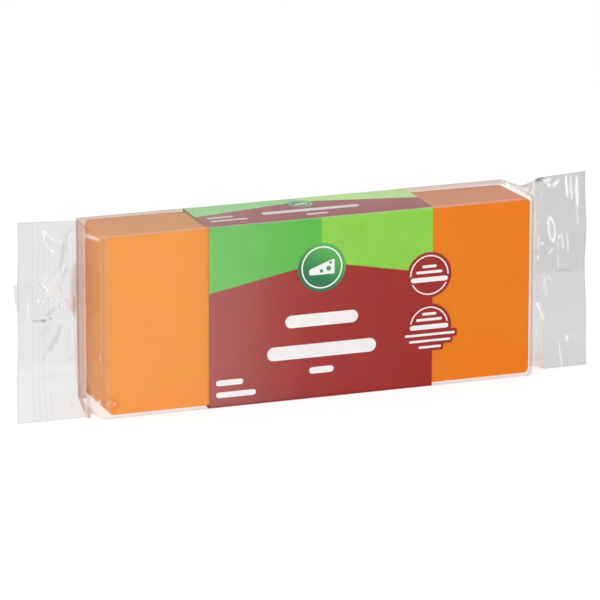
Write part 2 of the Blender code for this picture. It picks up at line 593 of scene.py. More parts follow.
def flare(x):
    """0 on the block, 1 where the fin has its full height, which the left fin reaches sooner."""
    start = np.where(x < 0, LEFT_RISE_START, RIGHT_RISE_START)
    length = np.where(x < 0, LEFT_RISE_LENGTH, RIGHT_RISE_LENGTH)
    return smooth((np.abs(x) - HALF_LENGTH - start) / length)


def along_fin(x):
    """0 on the block, 1 at the fin's outer edge."""
    return np.maximum(np.abs(x) - HALF_LENGTH, 0.0) / FIN_LENGTH


def tuck(x):
    """How far the top and the base draw in where the film closes on the fin."""
    past = (np.abs(x) - HALF_LENGTH) / reach_of(x)
    depth = np.where(x < 0, LEFT_TUCK, RIGHT_TUCK)
    return depth * smooth(past + TUCK_LEAD) * (1 - flare(x))


def high_edge(x):
    return BODY_HEIGHT + FIN_RISE * flare(x) + FIN_SPREAD * along_fin(x) - tuck(x)


def spread_fins(points):
    """Gives the fins their height, as the solid has it."""
    x, y, z = points.T
    lifted = smooth((np.abs(x) - HALF_LENGTH + CORNER_RADIUS) / CORNER_RADIUS)
    low = FIN_CLEAR * lifted + tuck(x) * BASE_TUCK_SHARE
    return np.stack([x, y, low + (high_edge(x) - low) * z / BODY_HEIGHT], 1)


def settle_fins(points):
    """Bends the fins as the solid bends: a slow wave, and the lower corners curled forward by the table."""
    x, y, z = points.T
    on_fin = np.abs(x) > HALF_LENGTH
    wave = FIN_WAVE * np.sin(2 * np.pi * z / WAVE_PITCH + np.sign(x) * WAVE_PHASE) * flare(x)
    bend = np.maximum(1 - z / CURL_HEIGHT, 0.0) ** 2
    y = y + (wave - CURL_FORWARD * bend * flare(x)) * on_fin
    x = x + (-np.sign(x) * FIN_SKEW * z / BODY_HEIGHT - CURL_DRAG * bend) * along_fin(x)
    return np.stack([x, y, z], 1)


def turned(x, z, at_x, at_z, lean):
    """How far points lie, in mm, across and along a line through (at_x, at_z) that leans towards +X."""
    a = math.radians(lean)
    right, up = x / MM - at_x, z / MM - at_z
    return right * math.cos(a) - up * math.sin(a), right * math.sin(a) + up * math.cos(a)


def leaf(x, z, at_x, at_z, lean, half_length, half_width):
    """1 along the middle of a long narrow mark that thins to both its tips."""
    across, along = turned(x, z, at_x, at_z, lean)
    taper = np.maximum(1 - (along / half_length) ** 2, 0.0)
    return np.exp(-((across / half_width) ** 2) / (taper + 0.05)) * np.minimum(taper * 2, 1.0)


def loop(x, z, at_x, at_z, lean, half_length, half_width):
    """How far round points lie from the middle of a loop, whose line is at 1."""
    across, along = turned(x, z, at_x, at_z, lean)
    return np.hypot(across / half_width, along / half_length)


# Marks of the loose film, each raised by its height and given a painted glint or painted shade: x, z, lean,
# half length, half width, height, tone (painted glint above 0, painted shade below)
LEFT_MARKS = [
    # The upper corner: a streak, two folds and a shadow
    (-87.8, 59.0, -52, 3.4, 0.28, 0.15, 0.75),
    (-80.6, 58.6, 28, 2.4, 0.45, 0.16, 0.55),
    (-83.8, 57.5, 64, 1.8, 0.3, 0.1, 0.35),
    (-80.4, 60.0, 55, 2.6, 0.6, 0.0, -0.05),
    # Below the corner
    (-83.3, 51.8, 6, 5.8, 0.38, 0.13, -0.08),
    (-82.1, 46.3, 15, 2.4, 0.6, 0.1, -0.08),
    (-82.9, 47.3, 13, 2.6, 0.26, 0.1, 0.5),
    # A slant, the nicks in a row under it, and a rising fold
    (-89.1, 42.0, -40, 2.8, 0.55, 0.22, 0.8),
    (-91.4, 37.6, -13, 0.9, 0.32, 0.2, 0.9),
    (-89.7, 37.4, -17, 0.8, 0.36, 0.2, 0.9),
    (-87.4, 37.9, 0, 0.7, 0.32, 0.15, 0.6),
    (-85.3, 38.2, -24, 0.9, 0.36, 0.2, 0.9),
    (-83.6, 35.6, -24, 1.1, 0.46, 0.25, 1.0),
    (-87.2, 33.9, 52, 2.4, 0.45, 0.2, -0.11),
    # The back seam's lower edge: painted shadow along it, and a painted glint on its tip
    (-92.2, 31.3, 88, 1.5, 0.22, 0.0, -0.16),
    (-89.7, 31.4, 88, 1.2, 0.26, 0.0, -0.5),
    (-87.6, 31.6, 84, 0.8, 0.24, 0.0, -0.42),
    (-94.9, 34.6, 0, 4.2, 0.26, 0.05, 0.45),
    # Low lines and folds
    (-90.2, 27.9, 51, 2.2, 0.24, 0.1, -0.07),
    (-89.3, 27.2, 51, 2.6, 0.24, 0.1, -0.07),
    (-86.4, 23.6, 28, 3.5, 0.55, 0.18, -0.08),
    (-84.7, 27.8, 10, 1.9, 0.6, 0.12, -0.06),
    # Sheen by the root
    (-80.6, 52.0, -6, 9.0, 0.9, 0.12, 0.22),
    (-80.9, 22.0, 3, 8.0, 0.8, 0.1, 0.14),
    # Slack folds
    (-85.6, 46.0, 38, 3.2, 0.5, 0.14, 0.2),
    (-88.6, 19.5, 24, 4.0, 0.35, 0.12, 0.14),
    # Dimples
    (-80.5, 17.4, 0, 0.5, 0.45, -0.1, -0.08),
    (-81.5, 4.1, 30, 0.7, 0.45, -0.1, -0.06),
]
RIGHT_MARKS = [
    # The upper corner: shadows, then glints
    (81.2, 62.5, -86, 2.3, 0.34, 0.0, -0.42),
    (82.0, 63.2, 88, 1.4, 0.3, 0.0, -0.3),
    (84.5, 62.2, 72, 1.7, 0.45, 0.34, 1.0),
    (85.1, 60.7, -44, 1.2, 0.4, 0.2, 0.9),
    (87.7, 61.0, 50, 1.6, 0.6, 0.3, 1.0),
    # Streaks on the ribs
    (91.7, 59.6, -4, 4.6, 0.42, 0.1, 1.0),
    (93.3, 59.1, -2, 5.0, 0.3, 0.1, 0.8),
    (95.4, 57.6, -1, 6.2, 0.45, 0.1, 1.0),
    (95.3, 50.3, -1, 5.0, 0.34, 0.06, 0.35),
    # A thin streak under the corner
    (82.5, 57.5, 10, 1.9, 0.24, 0.1, 0.5),
    # A hook round the loop
    (88.8, 43.1, 22, 1.2, 0.32, 0.2, 0.95),
    (90.0, 41.1, -9, 3.3, 0.28, 0.2, 0.7),
    (88.3, 40.3, -3, 3.2, 0.26, 0.1, 0.35),
    (88.6, 34.6, -7, 3.3, 0.28, 0.15, 0.45),
    # Streaks beside the hook
    (91.9, 40.3, -5, 4.3, 0.28, 0.2, 0.6),
    (85.9, 38.3, 35, 1.6, 0.28, 0.2, 1.0),
    # Small marks by the root
    (81.1, 41.5, -1, 2.9, 0.4, 0.2, 0.55),
    (81.4, 36.2, -1, 1.1, 0.38, 0.25, 1.0),
    (82.5, 41.1, -1, 0.5, 0.34, 0.1, 0.8),
    (80.9, 48.5, 36, 0.9, 0.26, 0.1, 0.55),
    # Painted shadow along the back seam's lower edge
    (89.0, 31.1, 90, 11.0, 0.2, 0.0, -0.05),
    (91.6, 31.0, 91, 2.9, 0.24, 0.0, -0.3),
    # Folds at the middle
    (85.4, 29.1, -39, 2.9, 0.4, 0.15, 0.28),
    (83.9, 26.7, -6, 4.4, 0.7, 0.16, 0.26),
    # A wedge and the pale band by the root
    (82.1, 18.0, -17, 3.7, 0.42, 0.3, 0.9),
    (81.5, 19.6, -20, 1.8, 0.52, 0.2, 1.0),
    (81.5, 11.4, -1, 7.4, 0.75, 0.1, 0.28),
    # Marks near the foot
    (91.6, 8.5, 15, 1.5, 0.5, 0.34, 1.0),
    (87.9, 8.1, 0, 0.4, 0.34, 0.1, 0.7),
    (88.5, 3.2, -1, 4.2, 0.34, 0.26, 0.8),
    (80.5, 2.6, -4, 2.8, 0.42, 0.2, 0.85),
]
MARKS = LEFT_MARKS + RIGHT_MARKS

# Loops round a dimple, whose line is a painted glint: x, z, lean, half length, half width, depth, line's
# thickness and how white
LOOPS = [
    (-88.0, 57.2, -26, 3.6, 0.95, -0.3, 0.2, 0.75),
    (85.8, 45.8, -9, 3.9, 1.1, -0.45, 0.2, 1.0),
]


def rib_turn(x):
    """The phase of an end seal's pressed ribs, and where they are."""
    inward = FIN_EDGE - RIB_MARGIN - np.abs(x)
    return 2 * np.pi * inward / RIB_PITCH, (inward > 0) & (inward < RIB_COUNT * RIB_PITCH)


def rib_relief(x, z):
    """The seal's pressed ribs, which are deepest at the top of the right fin."""
    turn, pressed = rib_turn(x)
    depth = RIB_DEPTH + (STREAK_DEPTH - RIB_DEPTH) * rise(z, *STREAK_RISE) * (x > 0)
    return depth * np.sin(turn) * pressed


def slack_relief(x, z):
    """The unevenness of film that hangs free: slow waves and quick ones, in mm."""
    u, v = x / MM, z / MM
    slow = np.sin(u / 3.1 + v / 5.3 + 0.7) * 0.06 + np.sin(v / 2.7 - u / 4.9 + 2.1) * 0.035
    quick = np.sin(u / 1.3 + np.sin(v / 6.0) * 2.0) * 0.015 + np.sin(v / 1.1 + u / 2.3) * 0.008
    return (slow + quick) * MM


def wrinkle_fins(points):
    """Adds the folds, nicks and ribs of the loose film."""
    x, y, z = points.T
    loose = smooth((np.abs(x) - HALF_LENGTH - reach_of(x) * LOOSE_START) / LOOSE_RUN)
    relief = slack_relief(x, z) + rib_relief(x, z)
    for *place, height, _ in MARKS:
        relief = relief + leaf(x, z, *place) * height * MM
    for *place, depth, _, _ in LOOPS:
        relief = relief + bell(loop(x, z, *place), 0, 1) * depth * MM
    return np.stack([x, y + relief * loose, z], 1)


def flute_walls(points):
    """Flutes the end walls, where the film is drawn in from the block's corners to the fins."""
    x, y, z = points.T
    past = (np.abs(x) - HALF_LENGTH + FLUTE_LEAD) / (reach_of(x) + FLUTE_OVERRUN)
    on_wall = np.clip(past, 0, 1) * np.clip(1 - past, 0, 1) * 4
    u, v = y / MM, z / MM
    flutes = np.sin(u * 1.9 + np.sin(v / 4.1) * 1.3) * 0.12 + np.sin(v / 2.2 + u * 0.8) * 0.06
    return np.stack([x + np.sign(x) * flutes * MM * on_wall, y, z], 1)


# How the film tints what is behind it; the fins' tints are for their foot and their top, and the left fin's
# are painted lighter than the right's to stand in for mirrored light
FILM_CLEAR = 0.97
FIN_TINT_LEFT = (0.908, 0.892)
FIN_TINT_RIGHT = (0.878, 0.836)
# Painted light: the curl is made clearer to stand in for the mirrored light it misses
CURL_SHEEN_TINT = 0.985
RIM_TINT = 0.95
RIM_WIDTH = 0.40 * MM
# Painted shade on one side of each of the left fin's ribs
RIB_SHADE_TINT = 0.975
SEAM_TINT = 0.99
SEAM_TIP_TINT = 0.86
# The walls' rosy tints are painted reflection of the cheese, with painted shade towards the left wall's root
WALL_TINT_FRONT = (0.97, 0.96, 0.95)
WALL_ROOT_SHADE = (0.82, 0.73, 0.70)
WALL_CHEESE_REFLECTION = (0.90, 0.80, 0.75)
STRIP_SHADE_AND_REFLECTION = (0.68, 0.50, 0.42)
# Painted shade under the cheese's base; then the right end wall's faint rosy tint, painted reflection of the
# cheese
UNDER_CHEESE_SHADE = (0.90, 0.875, 0.855)
CLEAR_WALL = (0.96, 0.945, 0.93)
# Painted shade, rosy from the cheese, along the back's upper edge
BACK_EDGE_SHADE = (0.70, 0.55, 0.49)
# Painted shade in the gaps past the cheese's right end: on the top, in front, and by the fin's root
TOP_GAP_SHADE = (0.89, 0.865, 0.85)
RIGHT_GAP_SHADE = (0.85, 0.83, 0.82)
GAP_OUTER_SHADE = (0.87, 0.84, 0.825)
# Painted shade round the pucker
PUCKER_SHADE_TINT = (0.94, 0.75, 0.40)
# Painted reflection of the cheese in the folds by the left fin's root
CHEESE_REFLECTION_TINT = (0.74, 0.56, 0.46)

# Where those tints set in: start and length of each rise, in mm along an axis or out from the block's end
WALL_RISE = (-0.6, 0.6)
ROOT_RISE = (-11.0, 11.0)
LEFT_STRIP_RISE = (70.8, 1.0)
RIGHT_STRIP_RISE = (72.3, 0.5)
TOP_BACK_RISE = (11.2, 1.2)
BACK_UPPER_RISE = (58.4, 1.0)
UNDER_CHEESE_RISE = (-1.3, 0.5)
OUTER_RISE = (2.2, 1.0)
OUTER_FADE = (5.4, 0.8)
TOP_END_RISE = (72.8, 0.8)
CURL_RISE = (-18.0, 8.0)
LEFT_FIN_RISE = (2.66, 2.0)
RIGHT_FIN_RISE = (5.225, 0.8)
SEAM_TIP_RISE = (-0.3, 0.5)

# The same for the end walls' own tints to fade, as shares of the wall's reach
WALL_FADE_START = 0.75
WALL_FADE_RUN = 0.5

# The heights above which points count as the back's upper edge, the top with its rounded edge, and the top
TOP_BACK_LOW = BODY_HEIGHT * 0.97
TOP_LOW = BODY_HEIGHT * 0.985
TOP_FACE = BODY_HEIGHT * 0.99

# The pucker at the block's lower left corner and the slack by it, drawn only as painted shade: x, z, lean,
# half length, half width
PUCKER = (-71.9, 4.6, 78, 2.7, 1.9)
PUCKER_SLACK = (-72.6, 18.5, -5, 3.3, 0.32)
PUCKER_FOOT = 5.0 * MM

# Painted reflection of the cheese on folds by the left fin's root: x, z, lean, half length, half width,
# share
WARM_FOLD_REFLECTIONS = [
    (-79.1, 40.4, 1, 10.5, 1.0, 0.52),
    (-79.1, 35.6, 1, 2.8, 0.7, 0.8),
    (-78.8, 22.0, 1, 13.0, 0.5, 0.2),
    (-83.9, 41.2, -26, 2.4, 0.45, 0.25),
    (-80.9, 35.5, -28, 3.2, 0.8, 0.25),
    (-82.4, 56.0, -8, 4.0, 0.5, 0.12),
]

# A faint painted sheen on the left fin, and how much of the marks' painted glint is left under it
LEFT_FIN_SHEEN = (-84.0, 38.5, -32, 9.5, 4.0, 0.16)
MARKS_GLINT_SHARE = 0.75

# Glints on the film's front: x, z, lean, half length, half width and how white
FRONT_GLINTS = [
    (-71.9, 5.8, 75, 1.2, 0.32, 0.22),
    (-70.2, 5.1, 50, 0.7, 0.32, 0.34),
    (-73.2, 4.8, 86, 1.7, 0.22, 0.12),
]
# Pale spots on the right end wall by the fin, in the same columns
GAP_GLINTS = [
    (79.4, 50.9, 0, 1.1, 0.5, 0.5),
    (79.3, 37.3, 0, 1.1, 0.6, 0.3),
    (79.4, 30.8, 0, 1.3, 0.6, 0.18),
    (79.3, 21.9, -20, 2.0, 0.55, 0.26),
    (79.4, 11.6, -20, 1.4, 0.55, 0.18),
    (79.6, 8.5, -12, 1.1, 0.4, 0.55),
]
# Painted highlights and painted shade of film creases on the block's top near its ends, which the shape
# doesn't have: x, y, lean, half length, half width and tone
TOP_CREASE_SHADING = [
    (73.5, 6.5, -6, 6.0, 0.4, 0.3),
    (74.1, 4.0, -8, 6.5, 0.42, -0.45),
    (73.4, -4.0, -10, 5.0, 0.4, 0.3),
    (74.4, -6.5, -4, 5.5, 0.42, -0.42),
    (74.6, -10.6, -24, 2.6, 0.5, -0.6),
    (76.6, 4.6, -38, 4.2, 0.45, -0.35),
    (77.0, -2.6, 34, 4.6, 0.45, -0.38),
    (76.0, 0.6, -8, 4.0, 0.5, 0.3),
    (-73.9, -4.0, 4, 6.5, 0.35, -0.12),
]
# Painted glints on the left end wall: y, z, how wide along each, and how white
LEFT_WALL_GLINTS = [
    (-11.0, 5.4, 0.6, 0.9, 1.0),
    (-6.7, 5.9, 0.9, 0.8, 0.6),
    (-11.8, 20.5, 0.4, 1.1, 0.6),
]
# The sheen under the left end's upper edge: height, fall with y, width, and where it starts and ends
SHEEN_HEIGHT = 58.95
SHEEN_FALL = 0.05
SHEEN_WIDTH = 0.62
SHEEN_BACK_RISE = (1.0, 5.0)
SHEEN_FRONT_RISE = (-12.6, 0.8)

# How strong the painted sheen on the pale strip, the walls and the top is, and the painted highlight along
# the front's upper edge, and where
PALE_STRIP_RISE = (71.3, 0.6)
STRIP_SHEEN = 0.05
WALL_SHEEN = 0.02
EDGE_HIGHLIGHT = 0.24
EDGE_LINE = (0.35 * MM - HALF_DEPTH, 0.25 * MM)
TOP_SHEEN = 0.045
TOP_SHEEN_BACK = 12.0 * MM
WALL_GLINT = 0.50
GAP_START = HALF_LENGTH + 3.4 * MM
GAP_END = HALF_LENGTH + RIGHT_REACH + 0.5 * MM
GAP_BACK = 0.5 * MM


def pucker_shade(x, z):
    """Painted shade that makes the block's lower left corner a deeper orange, as if the film stood off it in
    a pucker.
    """
    out = loop(x, z, *PUCKER)
    rim = bell(out, 1, 0.24) * 0.8
    dip = smooth((1.1 - out) / 0.3) * 0.35
    return np.maximum(np.maximum(rim, dip), leaf(x, z, *PUCKER_SLACK) * 0.7)


def blend(colours, new, share):
    """Moves colours towards a new one by a share at each point."""
    return colours + (np.array(new) - colours) * share[:, None]


def off_band(x):
    return (x < BAND_LEFT) | (x > BAND_RIGHT)


def wall_tint(x, y, z):
    """Plain film, with the end walls and the strips of film past the cheese made rosy by painted reflection
    of the cheese, and painted shade in the gaps, under the cheese, at the back's upper edge and round the
    pucker.
    """
    past = np.abs(x) - HALF_LENGTH
    block, left, near = past < 0, x < 0, y < 0
    in_front, behind = (y < -HALF_DEPTH * 0.9) & block, (y > HALF_DEPTH * 0.9) & block
    fade = smooth((past / reach_of(x) - WALL_FADE_START) / WALL_FADE_RUN)
    on_wall = rise(past, *WALL_RISE) * (1 - fade)
    outer = rise(past, *OUTER_RISE) * (1 - rise(past, *OUTER_FADE))
    bare = block & off_band(x)
    over_cheese = (x > CHEESE_LEFT) | (z > PUCKER_FOOT)
    layers = [
        (WALL_TINT_FRONT, on_wall * near * left),
        (WALL_ROOT_SHADE, on_wall * near * left * rise(y, *ROOT_RISE)),
        (WALL_CHEESE_REFLECTION, on_wall * ~near * left),
        (CLEAR_WALL, on_wall * ~left),
        (STRIP_SHADE_AND_REFLECTION, rise(-x, *LEFT_STRIP_RISE) * behind),
        (RIGHT_GAP_SHADE, rise(x, *RIGHT_STRIP_RISE) * in_front),
        (BACK_EDGE_SHADE, rise(y, *TOP_BACK_RISE) * (z > TOP_BACK_LOW) * bare),
        (BACK_EDGE_SHADE, rise(z, *BACK_UPPER_RISE) * behind * bare),
        (UNDER_CHEESE_SHADE, rise(-z, *UNDER_CHEESE_RISE) * in_front),
        (GAP_OUTER_SHADE, outer * near * ~left),
        (TOP_GAP_SHADE, rise(x, *TOP_END_RISE) * (past < RIGHT_REACH) * (z > TOP_LOW)),
        (PUCKER_SHADE_TINT, pucker_shade(x, z) * in_front * over_cheese),
    ]
    colours = np.full((len(x), 3), FILM_CLEAR)
    for tint, share in layers:
        colours = blend(colours, tint, share)
    return colours


def from_edges(x, z):
    """How far a point of a fin is from the fin's nearest edge."""
    return np.minimum(FIN_EDGE - np.abs(x), np.minimum(z - FIN_CLEAR, high_edge(x) - z))


def fin_tint(x, z):
    """The fins' grey, the left one painted lighter: clearer where the left one curls, as painted light,
    darker at their rims, and with painted shade on one side of the left one's ribs.
    """
    low, high = (np.where(x < 0, *pair) for pair in zip(FIN_TINT_LEFT, FIN_TINT_RIGHT))
    level = low + (high - low) * smooth(z / BODY_HEIGHT)
    level = level + (CURL_SHEEN_TINT - level) * rise(-z, *CURL_RISE) * (x < 0)
    turn, pressed = rib_turn(x)
    ribs = pressed * (x < 0) * np.maximum(np.cos(turn), 0.0) ** 3
    level = level * (1 - (1 - RIB_SHADE_TINT) * ribs)
    return level * np.where(from_edges(x, z) < RIM_WIDTH, RIM_TINT, 1.0)


def painted_mark_tones(marks, across, up, where=1.0):
    """How much painted shade a set of marks puts on the film, as how clear it leaves it, and how much
    painted glint, as how white it makes it.
    """
    clear, white = np.ones(len(across)), np.zeros(len(across))
    for *place, tone in marks:
        mark = leaf(across, up, *place) * where
        clear = clear * (1 + min(tone, 0) * mark)
        white = np.maximum(white, max(tone, 0) * mark)
    return clear, white


def body_painted_light(x, y, z):
    """The painted sheen on the pale strip past the cheese's left end and on the bare top, the painted
    highlight along the front's upper edge, the painted sheen under that end's upper edge and on its wall,
    and small painted glints.
    """
    block = np.abs(x) < HALF_LENGTH
    on_front = (y < -HALF_DEPTH * 0.97) & block
    front = rise(-x, *PALE_STRIP_RISE) * STRIP_SHEEN + painted_mark_tones(FRONT_GLINTS, x, z)[1]
    top = bell(y, *EDGE_LINE) * EDGE_HIGHLIGHT + off_band(x) * block * (y < TOP_SHEEN_BACK) * TOP_SHEEN
    on_wall = (x < -HALF_LENGTH) & (x > -HALF_LENGTH - LEFT_REACH) & (y < 0)
    sheen = bell(z / MM, SHEEN_HEIGHT - y / MM * SHEEN_FALL, SHEEN_WIDTH)
    wall = sheen * rise(-y, *SHEEN_BACK_RISE) * rise(y, *SHEEN_FRONT_RISE) * WALL_GLINT
    wall = wall + rise(y, *ROOT_RISE) * WALL_SHEEN
    for at_y, at_z, wide, tall, share in LEFT_WALL_GLINTS:
        wall = wall + bell(y / MM, at_y, wide) * bell(z / MM, at_z, tall) * share
    by_fin = (x > GAP_START) & (x < GAP_END) & (y < GAP_BACK)
    spots = painted_mark_tones(GAP_GLINTS, x, z)[1]
    return front * on_front + top * (z > TOP_FACE) + wall * on_wall + spots * by_fin


def keep_tint(piece, colours, white):
    """Keeps on each point how the film tints what is behind it, with any painted shade, and in the fourth
    value how white it is, which is painted glint and sheen.
    """
    values = np.concatenate([colours, white[:, None]], 1)
    attribute = piece.data.attributes.new("film_tint_and_painted_light", "FLOAT_COLOR", "POINT")
    attribute.data.foreach_set("color", values.ravel())


def tint_film(film, points):
    """Tints and whitens the film: its grey, with painted shade, glints and sheen, on the block, its end
    walls, the fins, and the marks on them.
    """
    x, y, z = points.T
    past = np.abs(x) - HALF_LENGTH
    fin = np.where(x < 0, rise(past, *LEFT_FIN_RISE), rise(past, *RIGHT_FIN_RISE))
    clear, white = painted_mark_tones([(*place, tone) for *place, _, tone in MARKS], x, z)
    for *place, _, thickness, tone in LOOPS:
        white = np.maximum(white, tone * bell(loop(x, z, *place), 1, thickness))
    white = np.maximum(white * MARKS_GLINT_SHARE, painted_mark_tones([LEFT_FIN_SHEEN], x, z)[1])
    level = fin_tint(x, z) * clear
    colours = blend(wall_tint(x, y, z), level[:, None], fin)
    for *place, share in WARM_FOLD_REFLECTIONS:
        colours = blend(colours, CHEESE_REFLECTION_TINT, leaf(x, z, *place) * share)
    on_top = (z > TOP_LOW) & (past < reach_of(x) * 0.8)
    top_clear, top_white = painted_mark_tones(TOP_CREASE_SHADING, x, y, on_top)
    white = np.maximum(white, top_white) * np.maximum(fin, on_top)
    keep_tint(film, colours * top_clear[:, None], white + body_painted_light(x, y, z))


def make_film():
    film = film_cage()
    points = spread_fins(points_of(film))
    tint_film(film, points)
    move_points(film, settle_fins(flute_walls(wrinkle_fins(points))))
    face_outwards(film)
    shade(film, 70)
    film.data.materials.append(film_material("clear_film"))
    return film


def film_half_depth(x):
    """Half the pack's depth at x, as the film's cage has it."""
    past = np.abs(x) - (HALF_LENGTH - CORNER_RADIUS)
    turn = np.clip(past, 0, CORNER_RADIUS)
    corner = HALF_DEPTH - CORNER_RADIUS + np.sqrt(CORNER_RADIUS**2 - turn**2)
    inner = HALF_DEPTH - CORNER_RADIUS
    wall = np.clip((past - CORNER_RADIUS) / reach_of(x), 0, 1) ** WALL_BULGE
    return np.where(past < CORNER_RADIUS, corner, inner + (FIN_GAP / 2 - inner) * wall)


def tint_seam(seam):
    """Clear film, which is greyer where the seam's end pokes out past the left fin."""
    x = points_of(seam)[:, 0]
    level = SEAM_TINT + (SEAM_TIP_TINT - SEAM_TINT) * rise(-x - FIN_EDGE, *SEAM_TIP_RISE)
    keep_tint(seam, np.stack([level] * 3, 1), level * 0)


def make_seam(name, low_x, high_x, columns, material):
    """A stretch of the back seam: a strip of doubled film folded up flat against the back."""
    deselect()
    centre = ((low_x + high_x) / 2, 0, SEAM_LOW + SEAM_HEIGHT / 2)
    turn = (math.radians(-90), 0, 0)
    bpy.ops.mesh.primitive_grid_add(
        x_subdivisions=columns, y_subdivisions=SEAM_ROWS, size=1, location=centre, rotation=turn
    )
    seam = name_piece(bpy.context.object, name)
    seam.scale = (high_x - low_x, SEAM_HEIGHT, 1)
    apply_place()
    x, y, z = points_of(seam).T
    up = (z - SEAM_LOW) / SEAM_HEIGHT
    poke = SEAM_POKE * up * (x < HAIR - FIN_EDGE)
    lift = SEAM_ROOT + (SEAM_EDGE - SEAM_ROOT) * up
    points = np.stack([x, film_half_depth(x) + lift, z], 1)
    points = settle_fins(wrinkle_fins(points))
    points[:, 0] -= poke
    move_points(seam, points)
    apply_modifier(seam, "SOLIDIFY", thickness=SEAM_FILM, offset=1.0)
    face_outwards(seam)
    shade(seam, 50)
    tint_seam(seam)
    seam.data.materials.append(material)
    return seam


# The printed band

def cut_faces(piece, test, point, normal):
    """Cuts the chosen faces along a plane."""
    pick(piece, "faces", test)
    bpy.ops.mesh.bisect(plane_co=point, plane_no=normal)


def roof_cuts(piece, on_panel, axis, shoulder, peak):
    """Cuts a panel along the border that climbs from both of the band's sides to a peak at its middle."""
    for side, edge in ((-1, BAND_LEFT), (1, BAND_RIGHT)):
        normal = Vector((peak - shoulder, 0, 0))
        normal[axis] = edge - BAND_MIDDLE
        point = Vector((BAND_MIDDLE, 0, 0))
        point[axis] = peak
        half = lambda f, s=side: on_panel(f) and (middle(f).x - BAND_MIDDLE) * s > 0
        cut_faces(piece, half, point, normal)


def above_roof(x, height, shoulder, peak):
    """Whether a place is on the green side of the border."""
    edge = BAND_RIGHT if x > BAND_MIDDLE else BAND_LEFT
    t = (x - BAND_MIDDLE) / (edge - BAND_MIDDLE)
    return height > peak + (shoulder - peak) * t


def ink_of(face):
    """Which colour a face of the band has."""
    at = middle(face)
    greens = "light_green" if at.x > BAND_MIDDLE else "green"
    n = face.normal
    if n.z > abs(n.y):
        return "top_" + greens if above_roof(at.x, at.y, TOP_SHOULDER, TOP_PEAK) else "burgundy"
    return greens if above_roof(at.x, at.z, FRONT_SHOULDER, FRONT_PEAK) else "burgundy"


def make_band():
    """The printed part of the film, just inside its clear outer skin."""
    depth = HALF_DEPTH - PRINT_GAP
    high = (BAND_RIGHT, depth, BODY_HEIGHT - PRINT_GAP)
    band = add_box("printed_band", (BAND_LEFT, -depth, PRINT_GAP), high)
    bevel_edges(band, lambda e: abs(span(e).x) > BODY_DEPTH, EDGE_RADIUS - PRINT_GAP, 3)
    edit(band, "FACE")
    pick(band, "faces", lambda f: abs(f.normal.x) > 0.9)
    bpy.ops.mesh.delete(type="FACE")
    cut_faces(band, lambda f: True, (BAND_MIDDLE, 0, 0), (1, 0, 0))
    roof_cuts(band, lambda f: abs(f.normal.y) > 0.99, 2, FRONT_SHOULDER, FRONT_PEAK)
    roof_cuts(band, lambda f: f.normal.z > 0.99, 1, TOP_SHOULDER, TOP_PEAK)
    leave_edit()
    names = list(PLAIN_INKS)
    for name in names:
        band.data.materials.append(inks[name])
    bm = bmesh.new()
    bm.from_mesh(band.data)
    for face in bm.faces:
        face.material_index = names.index(ink_of(face))
    bm.to_mesh(band.data)
    bm.free()
    apply_modifier(band, "SOLIDIFY", thickness=PRINT_THICKNESS, offset=-1.0)
    shade(band, 40)
    return band


# The shapes on the print, each a thin closed patch of ink

def finish_flat(name, ink):
    """Gives the flat shape just made its thickness and ink; it faces +Z round the origin."""
    shape = name_piece(bpy.context.object, name)
    apply_place()
    apply_modifier(shape, "SOLIDIFY", thickness=INK_THICKNESS, offset=1.0)
    shape.data.materials.append(inks[ink])
    return shape


def add_circle(radius, corners=72):
    deselect()
    bpy.ops.mesh.primitive_circle_add(vertices=corners, radius=radius, fill_type="NGON")
    return bpy.context.object


def edit_rectangle(length, height):
    """Adds a flat rectangle and opens it with its corners selected."""
    deselect()
    bpy.ops.mesh.primitive_plane_add(size=1)
    rectangle = bpy.context.object
    rectangle.scale = (length, height, 1)
    apply_place()
    edit(rectangle, "VERT")
    select_whole()
    return rectangle


def flat_disc(radius, ink, corners=72):
    add_circle(radius, corners)
    return finish_flat("disc", ink)


def flat_ring(radius, width, ink):
    edit(add_circle(radius), "FACE")
    select_whole()
    bpy.ops.mesh.inset(thickness=width)
    bpy.ops.mesh.delete(type="FACE")
    leave_edit()
    return finish_flat("ring", ink)


def flat_bar(length, height, ink, rounding=0.5):
    edit_rectangle(length, height)
    bpy.ops.mesh.bevel(offset=height * rounding * 0.99, segments=8, affect="VERTICES")
    leave_edit()
    return finish_flat("bar", ink)


def flat_wedge(length, height, ink):
    """A wedge of cheese in plain outline, thick at its right end."""
    wedge = edit_rectangle(length, height)
    pick(wedge, "verts", lambda v: v.co.x < 0 and v.co.y > 0)
    bpy.ops.transform.translate(value=(0, -height * 0.62, 0))
    select_whole()
    bpy.ops.mesh.bevel(offset=height * 0.10, segments=5, affect="VERTICES")
    leave_edit()
    return finish_flat("wedge", ink)


def lay_on_front(shape, x, z, layer):
    activate(shape)
    shape.rotation_euler = (math.radians(90), 0, 0)
    shape.location = (x * MM, -(HALF_DEPTH - PRINT_GAP) - layer * LAYER_STEP, z * MM)
    apply_place()
    return shape


def lay_on_top(shape, x, y, layer):
    activate(shape)
    shape.location = (x * MM, y * MM, BODY_HEIGHT - PRINT_GAP + layer * LAYER_STEP)
    apply_place()
    return shape


def emblem(lay, ink, x, height, radius):
    """A plain round emblem: a green disc with a white ring and a wedge of cheese."""
    r = radius * MM
    shapes = [
        lay(flat_disc(r, ink), x, height, 1),
        lay(flat_ring(r * 0.86, r * 0.06, "white"), x, height, 2),
        lay(flat_wedge(r * 1.06, r * 0.62, "white"), x, height + radius * 0.02, 2),
    ]
    holes = ((0.28, -0.06, 0.10), (-0.02, -0.14, 0.07), (0.36, 0.17, 0.055))
    for along, up, size in holes:
        hole = flat_disc(r * size, ink, 32)
        shapes.append(lay(hole, x + along * radius, height + up * radius, 3))
    return shapes


